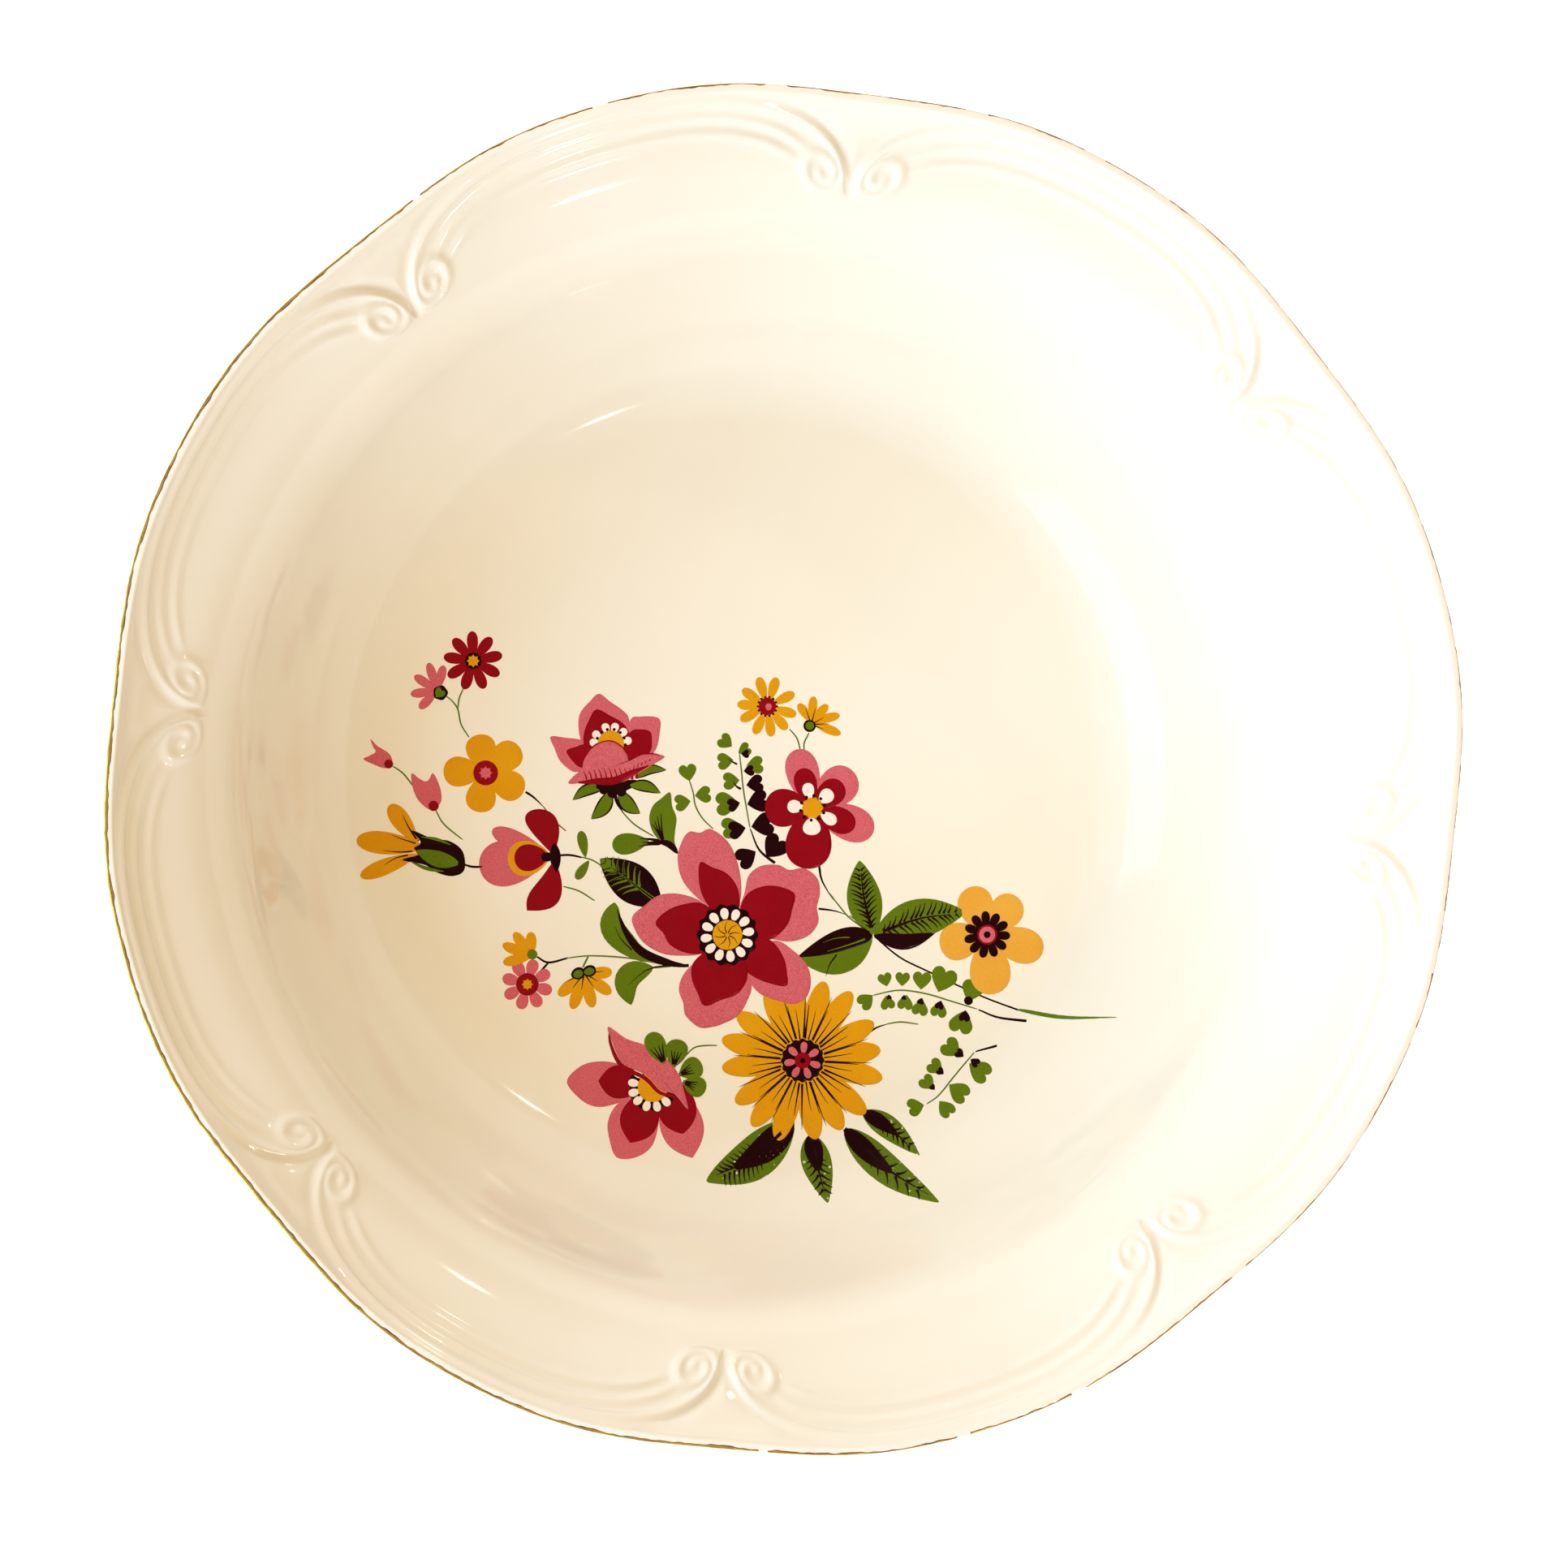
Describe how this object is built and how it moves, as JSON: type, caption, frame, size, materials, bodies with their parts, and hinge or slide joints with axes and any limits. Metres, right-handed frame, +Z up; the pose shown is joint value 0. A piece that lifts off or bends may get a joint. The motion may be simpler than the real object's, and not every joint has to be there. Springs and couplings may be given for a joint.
{
  "type": "porcelain serving bowl",
  "caption": "Round porcelain serving bowl with a lobed everted rim, scroll relief, gilt line, turned foot and a printed flower spray inside.",
  "frame": {"origin": "centre of the foot's contact plane, on the bowl's axis", "axes": "+Z up along the bowl's axis; notches between the rim's lobes point along +X and +Y; the printed spray lies towards -Y"},
  "size_m": [0.2378, 0.2378, 0.066],
  "materials": {
    "glazed_porcelain": "clear gloss glaze over warm ivory porcelain",
    "bare_porcelain": "matt wiped porcelain, slightly toned by use",
    "gilt": "bright fired gold, thin and a little worn",
    "enamel_pink": "stippled overglaze pink",
    "enamel_red": "deep overglaze red",
    "enamel_yellow": "overglaze ochre yellow",
    "enamel_green": "overglaze moss green",
    "enamel_dark": "overglaze aubergine",
    "enamel_cream": "overglaze cream"
  },
  "bodies": {
    "root": {"bowl_body": "glazed_porcelain", "foot_ring": "bare_porcelain", "gilt_rim_line": "gilt", "print_cream_rays": "enamel_cream", "print_dark_eyes": "enamel_dark", "print_main_flower_points": "enamel_red", "print_red_windflower_points": "enamel_red", "print_dark_daisy": "enamel_red", "print_pink_half_daisy": "enamel_pink", "print_yellow_windflower": "enamel_yellow", "print_tulip_buds": "enamel_pink", "print_trumpet_flower": "enamel_yellow", "print_side_flower": "enamel_pink", "print_rose": "enamel_pink", "print_rose_leaves": "enamel_green", "print_three_heart_sprig": "enamel_green", "print_heart_fern": "enamel_green", "print_yellow_daisy": "enamel_yellow", "print_yellow_half_daisy": "enamel_yellow", "print_pink_windflower": "enamel_pink", "print_main_flower": "enamel_pink", "print_yellow_marguerite": "enamel_yellow", "print_low_leaves": "enamel_green", "print_side_poppy": "enamel_pink", "print_bud_cluster": "enamel_yellow", "print_side_leaves": "enamel_green", "print_triple_leaves": "enamel_green", "print_orange_windflower": "enamel_yellow", "print_flat_heart_sprig": "enamel_green", "print_low_heart_sprig": "enamel_green"}
  },
  "joints": []
}
